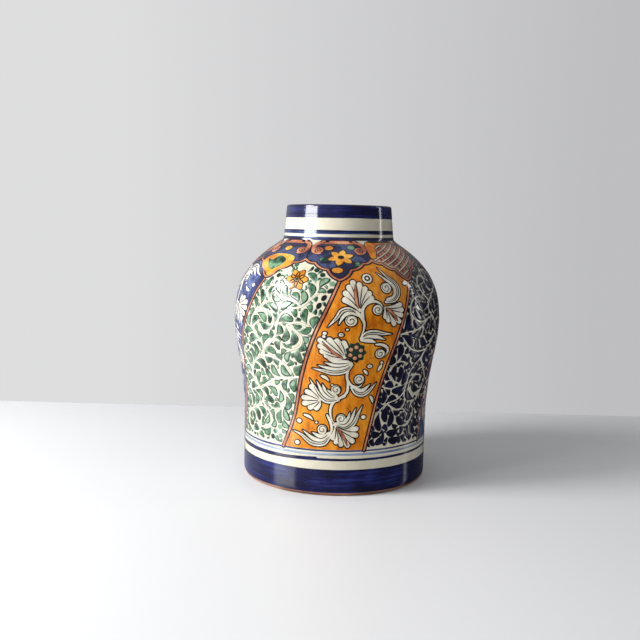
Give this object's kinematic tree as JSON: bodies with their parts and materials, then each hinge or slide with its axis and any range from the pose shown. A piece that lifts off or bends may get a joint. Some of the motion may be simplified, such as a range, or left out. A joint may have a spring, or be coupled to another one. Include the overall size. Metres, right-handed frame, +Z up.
{
  "type": "talavera vase",
  "caption": "Shouldered tin-glazed earthenware vase with a straight lower wall, full belly and short open neck, standing on a bare clay foot ring.",
  "frame": {"origin": "centre of the foot, on the surface that the vase stands on", "axes": "+Z up along the vase's axis; -Y is the front, where the orange panel stands"},
  "size_m": [0.218, 0.218, 0.285],
  "materials": {
    "painted_glaze": "glossy tin glaze, cream, hand painted in raised colours",
    "cobalt_glaze": "glossy cobalt blue glaze, brushed",
    "bare_clay": "matt unglazed earthenware",
    "orange_colour": "raised orange colour under clear glaze, brushy",
    "blue_colour": "raised mid blue colour under clear glaze, brushy",
    "green_colour": "raised copper green colour, pale wash to a dark core",
    "navy_colour": "raised near-black navy colour",
    "salmon_colour": "raised salmon pink colour",
    "brown_outline": "raised dark brown outline drawn with a liner",
    "white_motif": "raised cream white motif under clear glaze"
  },
  "bodies": {
    "root": {"foot_ring": "bare_clay", "floor_slab": "bare_clay", "lower_wall": "painted_glaze", "shoulder_wall": "painted_glaze", "neck_collar": "cobalt_glaze"}
  },
  "joints": []
}
